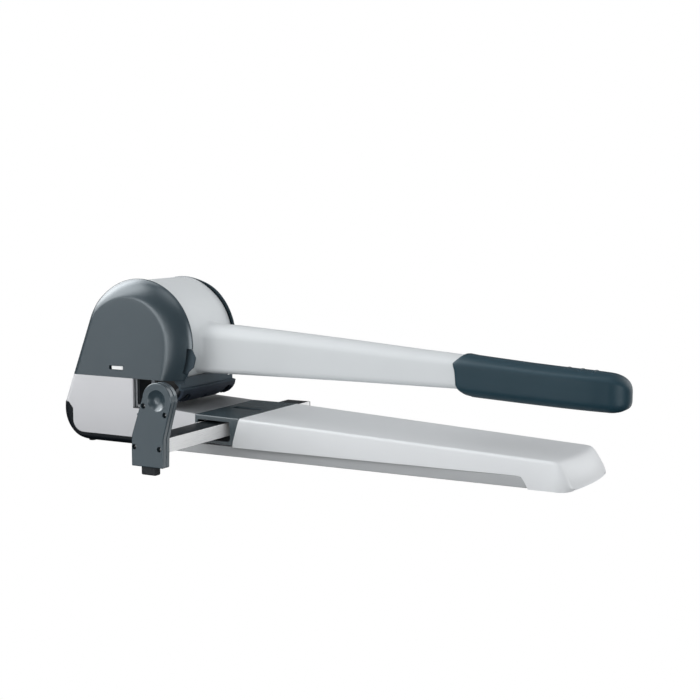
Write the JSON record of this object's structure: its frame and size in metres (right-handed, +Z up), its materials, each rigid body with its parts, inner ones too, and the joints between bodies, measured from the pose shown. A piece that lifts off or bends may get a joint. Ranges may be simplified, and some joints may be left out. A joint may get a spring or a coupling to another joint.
{
  "type": "heavy duty hole punch",
  "caption": "Heavy duty paper punch with a long gripped lever, drum head with dark side covers, sloping base and a sliding paper guide on a rail.",
  "frame": {"origin": "on the desk, in the middle plane, directly under the punch line", "axes": "+X from the head towards the grip, +Y away from the guide bracket, +Z up"},
  "size_m": [0.6415, 0.296, 0.1829],
  "materials": {
    "light_shell": "satin light grey moulding",
    "base_shell": "satin silver grey moulding",
    "lever_paint": "smooth satin light grey paint",
    "slate_plastic": "satin dark slate grey",
    "dark_plastic": "matte near-black",
    "grip_rubber": "soft satin, dark teal grey",
    "foot_rubber": "matte",
    "table_metal": "satin grey metallic",
    "rail_aluminium": "brushed",
    "steel": "zinc plated",
    "spring_steel": "drawn wire and strip",
    "tool_steel": "ground and hardened",
    "bronze": "sintered bronze",
    "indicator_white": "white",
    "clear_lens": "clear acrylic"
  },
  "bodies": {
    "base": {"base_frame": "steel", "bottom_shell": "dark_plastic", "rear_housing": "light_shell", "front_housing": "base_shell", "under_plate": "base_shell", "table_plate": "table_metal", "die_bushes": "tool_steel", "backstop": "slate_plastic", "rail_housing": "slate_plastic", "window_lens": "clear_lens", "rail_guide": "dark_plastic", "brake_spring": "spring_steel", "side_frame_left": "steel", "side_frame_right": "steel", "tie_rods": "steel", "tie_rod_nuts": "steel", "guide_plate": "steel", "guide_bushes": "bronze", "main_shaft": "steel", "shaft_bushes": "bronze", "shaft_clips": "spring_steel", "side_cover_left": "slate_plastic", "side_cover_right": "slate_plastic", "rear_panel": "slate_plastic", "shroud_left": "dark_plastic", "shroud_right": "dark_plastic", "housing_screws": "steel", "rubber_feet": "foot_rubber", "rest_pad": "foot_rubber", "return_spring": "spring_steel"},
    "lever": {"lever_shell": "lever_paint", "lever_core": "steel", "grip": "grip_rubber", "pinion_left": "steel", "pinion_right": "steel", "latch_plate": "steel", "lever_screws": "steel"},
    "carriage": {"crosshead": "steel", "rack_left": "steel", "rack_right": "steel", "rack_screws": "steel", "punch_pins": "tool_steel"},
    "guard": {"guard": "dark_plastic"},
    "lock": {"lock_slider": "indicator_white"},
    "tray": {"chip_tray": "dark_plastic"},
    "guide": {"rail": "rail_aluminium", "rail_end_cap": "dark_plastic", "bracket_front": "slate_plastic", "bracket_back": "slate_plastic", "bracket_screws": "steel", "bracket_foot": "foot_rubber"}
  },
  "joints": [
    {"name": "lever_hinge", "type": "hinge", "parent": "base", "child": "lever", "pos_m": [-0.0155, 0, 0.1134], "axis": [0, -1, 0], "range_deg": [0, 70]},
    {"name": "carriage_slide", "type": "slide", "parent": "base", "child": "carriage", "axis": [0, 0, 1], "range_m": [0, 0.0336]},
    {"name": "guard_hinge", "type": "hinge", "parent": "base", "child": "guard", "pos_m": [-0.0155, 0, 0.1134], "axis": [0, -1, 0], "range_deg": [0, 28]},
    {"name": "lock_slide", "type": "slide", "parent": "base", "child": "lock", "axis": [-1, 0, 0], "range_m": [0, 0.003]},
    {"name": "tray_slide", "type": "slide", "parent": "base", "child": "tray", "axis": [-1, 0, 0], "range_m": [0, 0.11]},
    {"name": "guide_slide", "type": "slide", "parent": "base", "child": "guide", "axis": [0, 1, 0], "range_m": [-0.046, 0.09]}
  ],
  "couplings": [
    {"joint": "carriage_slide", "follows": "lever_hinge", "m_per_rad": 0.0275},
    {"joint": "guard_hinge", "follows": "lever_hinge", "ratio": 0.4}
  ]
}
